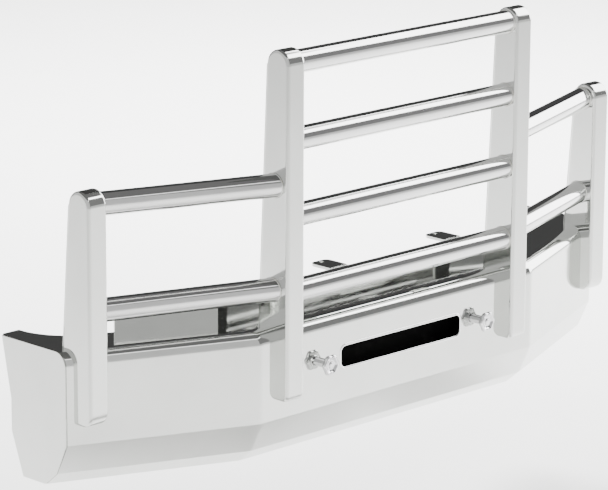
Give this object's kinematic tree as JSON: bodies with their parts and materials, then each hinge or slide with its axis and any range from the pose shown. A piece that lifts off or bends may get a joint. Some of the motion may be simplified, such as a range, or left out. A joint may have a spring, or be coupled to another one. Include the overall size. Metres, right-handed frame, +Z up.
{
  "type": "truck front grille guard",
  "caption": "Wide polished truck grille guard: folded bumper with raked wings, upright flat posts, cross tubes, slotted face, pull-out tow pins and a lower tilt hinge on frame brackets.",
  "frame": {"origin": "under the middle of the guard, level with the lowest edge of the bumper", "axes": "+X across the truck to the right as seen from the front of the guard, +Y back towards the truck, +Z up"},
  "size_m": [2.48, 0.61, 1.3389],
  "materials": {
    "polished_sheet": "mirror-polished stainless sheet",
    "polished_post": "mirror-polished stainless box section",
    "polished_tube": "mirror-polished stainless tube",
    "bright_trim": "bright rolled edge",
    "chrome_pin": "chromed steel",
    "black_steel": "satin black powder coat",
    "zinc_steel": "zinc-plated steel",
    "bronze": "plain bearing bronze"
  },
  "bodies": {
    "truck_brackets": {"frame_bracket_left": "black_steel", "frame_bracket_right": "black_steel", "pivot_bolts": "zinc_steel", "pivot_nuts": "zinc_steel", "inner_washers": "zinc_steel", "outer_washers": "zinc_steel"},
    "guard": {"centre_panel": "polished_sheet", "wing_panel_left": "polished_sheet", "wing_panel_right": "polished_sheet", "end_panel_left": "polished_sheet", "end_panel_right": "polished_sheet", "upstand_centre": "polished_sheet", "upstand_left": "polished_sheet", "upstand_right": "polished_sheet", "end_flange_left": "polished_sheet", "end_flange_right": "polished_sheet", "tall_post_left": "polished_post", "tall_post_back_left": "polished_post", "tall_post_block_left": "black_steel", "outer_post_left": "polished_post", "outer_post_back_left": "polished_post", "outer_post_block_left": "black_steel", "wing_top_tube_left": "polished_tube", "wing_belt_tube_left": "polished_tube", "lock_ear_left": "polished_sheet", "pin_sleeve_left": "black_steel", "hinge_arm_left": "black_steel", "wing_rib_left": "black_steel", "tall_post_right": "polished_post", "tall_post_back_right": "polished_post", "tall_post_block_right": "black_steel", "outer_post_right": "polished_post", "outer_post_back_right": "polished_post", "outer_post_block_right": "black_steel", "wing_top_tube_right": "polished_tube", "wing_belt_tube_right": "polished_tube", "lock_ear_right": "polished_sheet", "pin_sleeve_right": "black_steel", "hinge_arm_right": "black_steel", "wing_rib_right": "black_steel", "top_tube": "polished_tube", "upper_tube": "polished_tube", "middle_tube": "polished_tube", "belt_tube": "polished_tube", "slot_trim": "bright_trim", "slot_tray": "black_steel", "cross_beam": "black_steel", "foot_bolts": "zinc_steel", "pivot_bushes": "bronze"},
    "pin_left": {"tow_pin_left": "chrome_pin", "pin_collar_left": "zinc_steel"},
    "pin_right": {"tow_pin_right": "chrome_pin", "pin_collar_right": "zinc_steel"}
  },
  "joints": [
    {"name": "guard_tilt", "type": "hinge", "parent": "truck_brackets", "child": "guard", "pos_m": [0, -0.11, 0.08], "axis": [1, 0, 0], "range_deg": [0, 75]},
    {"name": "pin_left_pull", "type": "slide", "parent": "guard", "child": "pin_left", "axis": [0, -1, 0], "range_m": [0, 0.12]},
    {"name": "pin_right_pull", "type": "slide", "parent": "guard", "child": "pin_right", "axis": [0, -1, 0], "range_m": [0, 0.12]}
  ]
}
